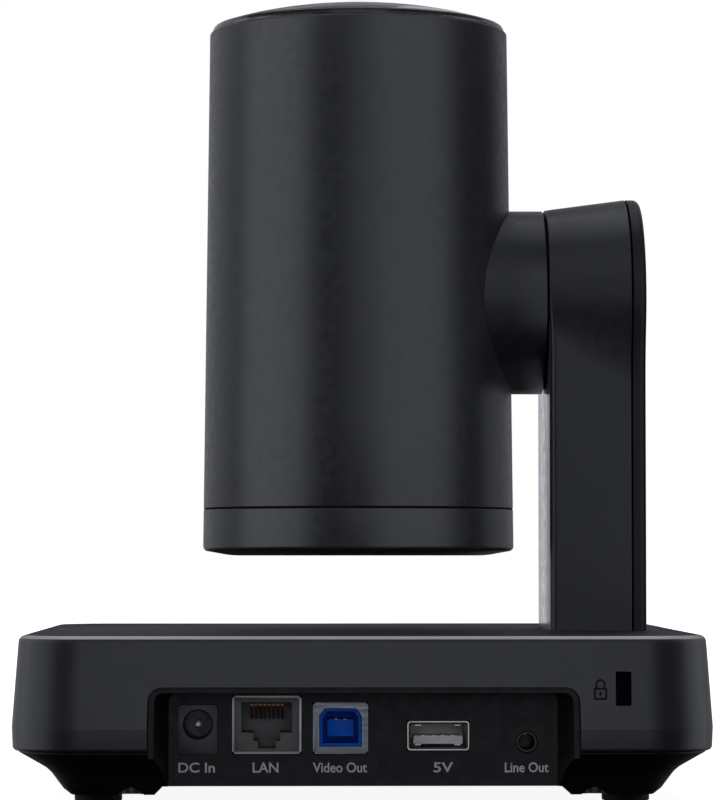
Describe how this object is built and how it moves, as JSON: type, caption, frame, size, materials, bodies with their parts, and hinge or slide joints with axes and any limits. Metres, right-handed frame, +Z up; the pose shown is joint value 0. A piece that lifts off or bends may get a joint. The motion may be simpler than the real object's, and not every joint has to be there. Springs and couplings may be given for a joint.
{
  "type": "ptz camera",
  "caption": "Pan, tilt and zoom conference camera: a barrel head on a side arm turns on a low square base that has a rear connector recess.",
  "frame": {"origin": "on the table plane under the pan axis, which is the centre of the base", "axes": "+Z up along the pan axis; -Y is the front, where the lens looks when the head is level; +Y is the rear with the sockets; the tilt arm stands at -X"},
  "size_m": [0.164, 0.162, 0.1962],
  "materials": {
    "housing_plastic": "fine satin grain",
    "cover_plastic": "matt black",
    "foot_rubber": "soft matt",
    "screw_steel": "blackened",
    "tray_plastic": "matt black",
    "inlet_plastic": "moulded",
    "pin_steel": "turned",
    "jack_steel": "dull nickel",
    "jack_plastic": "moulded",
    "contact_gold": "gold flash",
    "usb_steel": "nickel",
    "usb_blue": "moulded",
    "usb_white": "moulded",
    "window_plastic": "polished dark",
    "light_plastic": "frosted",
    "ballast_steel": "zinc plated",
    "insert_brass": "turned",
    "board": "solder mask",
    "board_parts": "moulded",
    "cast_alu": "as cast",
    "bearing_steel": "ground",
    "motor_steel": "plated",
    "turntable_plastic": "fine satin grain",
    "gear_plastic": "moulded",
    "arm_plastic": "satin",
    "arm_cover_plastic": "fine satin grain",
    "barrel_plastic": "fine satin grain",
    "cap_plastic": "fine satin grain",
    "hub_plastic": "satin",
    "lens_plastic": "matt black",
    "lens_glass": "coated",
    "mask_plastic": "polished black",
    "front_glass": "smoked, polished",
    "rod_steel": "ground",
    "gear_brass": "hobbed"
  },
  "bodies": {
    "base": {"base_housing": "housing_plastic", "base_bottom_cover": "cover_plastic", "rubber_feet": "foot_rubber", "base_screws": "screw_steel", "connector_tray": "tray_plastic", "dc_inlet_body": "inlet_plastic", "dc_inlet_pin": "pin_steel", "network_jack_shield": "jack_steel", "network_jack_insert": "jack_plastic", "network_jack_contacts": "contact_gold", "usb_b_shell": "usb_steel", "usb_b_tongue": "usb_blue", "usb_a_shell": "usb_steel", "usb_a_tongue": "usb_white", "audio_jack": "jack_plastic", "ir_window": "window_plastic", "status_light_pipe": "light_plastic", "ballast_plate": "ballast_steel", "tripod_insert": "insert_brass", "main_board": "board", "main_board_parts": "board_parts", "pan_chassis": "cast_alu", "pan_bearing_outer_ring": "bearing_steel", "pan_motor": "motor_steel"},
    "platform": {"turntable": "turntable_plastic", "pan_shaft": "cast_alu", "pan_retaining_clip": "screw_steel", "pan_gear": "gear_plastic", "pan_bearing_inner_ring": "bearing_steel", "turntable_screws": "screw_steel", "arm_frame": "arm_plastic", "arm_outer_cover": "arm_cover_plastic", "arm_screws": "screw_steel", "tilt_motor": "motor_steel", "tilt_bearing_outer_rings": "bearing_steel"},
    "head": {"head_barrel": "barrel_plastic", "head_rear_cap": "cap_plastic", "tilt_hub_cover": "hub_plastic", "hub_screws": "screw_steel", "tilt_shaft": "cast_alu", "tilt_gear": "gear_plastic", "tilt_bearing_inner_rings": "bearing_steel", "head_frame": "cast_alu", "lens_block_body": "lens_plastic", "front_lens": "lens_glass", "front_mask": "mask_plastic", "front_glass": "front_glass", "camera_boards": "board", "guide_rods": "rod_steel", "lens_motors": "motor_steel"},
    "zoom_group": {"zoom_carriage": "lens_plastic", "zoom_lens": "lens_glass"},
    "focus_group": {"focus_carriage": "lens_plastic", "focus_lens": "lens_glass"},
    "pan_pinion": {"pan_pinion": "gear_brass"},
    "tilt_pinion": {"tilt_pinion": "gear_brass"},
    "pan_balls": {"pan_bearing_balls": "bearing_steel"},
    "tilt_balls": {"tilt_bearing_balls": "bearing_steel"},
    "zoom_screw_body": {"zoom_screw": "rod_steel"},
    "focus_screw_body": {"focus_screw": "rod_steel"}
  },
  "joints": [
    {"name": "pan", "type": "hinge", "parent": "base", "child": "platform", "pos_m": [0, 0, 0.0392], "axis": [0, 0, 1], "range_deg": [-100, 100]},
    {"name": "tilt", "type": "hinge", "parent": "platform", "child": "head", "pos_m": [0, 0, 0.1216], "axis": [1, 0, 0], "range_deg": [0, 120]},
    {"name": "pan_pinion_spin", "type": "hinge", "parent": "base", "child": "pan_pinion", "pos_m": [0, -0.047, 0.03], "axis": [0, 0, 1], "range_deg": [-490, 490]},
    {"name": "tilt_pinion_spin", "type": "hinge", "parent": "platform", "child": "tilt_pinion", "pos_m": [-0.06, 0, 0.0924], "axis": [1, 0, 0], "range_deg": [-345, 5]},
    {"name": "pan_ball_orbit", "type": "hinge", "parent": "base", "child": "pan_balls", "pos_m": [0, 0, 0.0251], "axis": [0, 0, 1], "range_deg": [-50, 50]},
    {"name": "tilt_ball_orbit", "type": "hinge", "parent": "platform", "child": "tilt_balls", "pos_m": [-0.055, 0, 0.1216], "axis": [1, 0, 0], "range_deg": [-1, 56]},
    {"name": "zoom_spin", "type": "hinge", "parent": "head", "child": "zoom_screw_body", "pos_m": [0.014, -0.014, 0.14], "axis": [0, 0, 1], "range_deg": [-20, 2180]},
    {"name": "zoom_slide", "type": "slide", "parent": "head", "child": "zoom_group", "axis": [0, 0, -1], "range_m": [0, 0.024]},
    {"name": "focus_spin", "type": "hinge", "parent": "head", "child": "focus_screw_body", "pos_m": [-0.014, 0.014, 0.11], "axis": [0, 0, 1], "range_deg": [-20, 740]},
    {"name": "focus_slide", "type": "slide", "parent": "head", "child": "focus_group", "axis": [0, 0, 1], "range_m": [0, 0.008]}
  ],
  "couplings": [
    {"joint": "pan_pinion_spin", "follows": "pan", "ratio": -4.875},
    {"joint": "tilt_pinion_spin", "follows": "tilt", "ratio": -2.8421},
    {"joint": "pan_ball_orbit", "follows": "pan", "ratio": 0.462},
    {"joint": "tilt_ball_orbit", "follows": "tilt", "ratio": 0.4385},
    {"joint": "zoom_spin", "follows": "zoom_slide", "rad_per_m": 1570.8},
    {"joint": "focus_spin", "follows": "focus_slide", "rad_per_m": 1570.8}
  ]
}
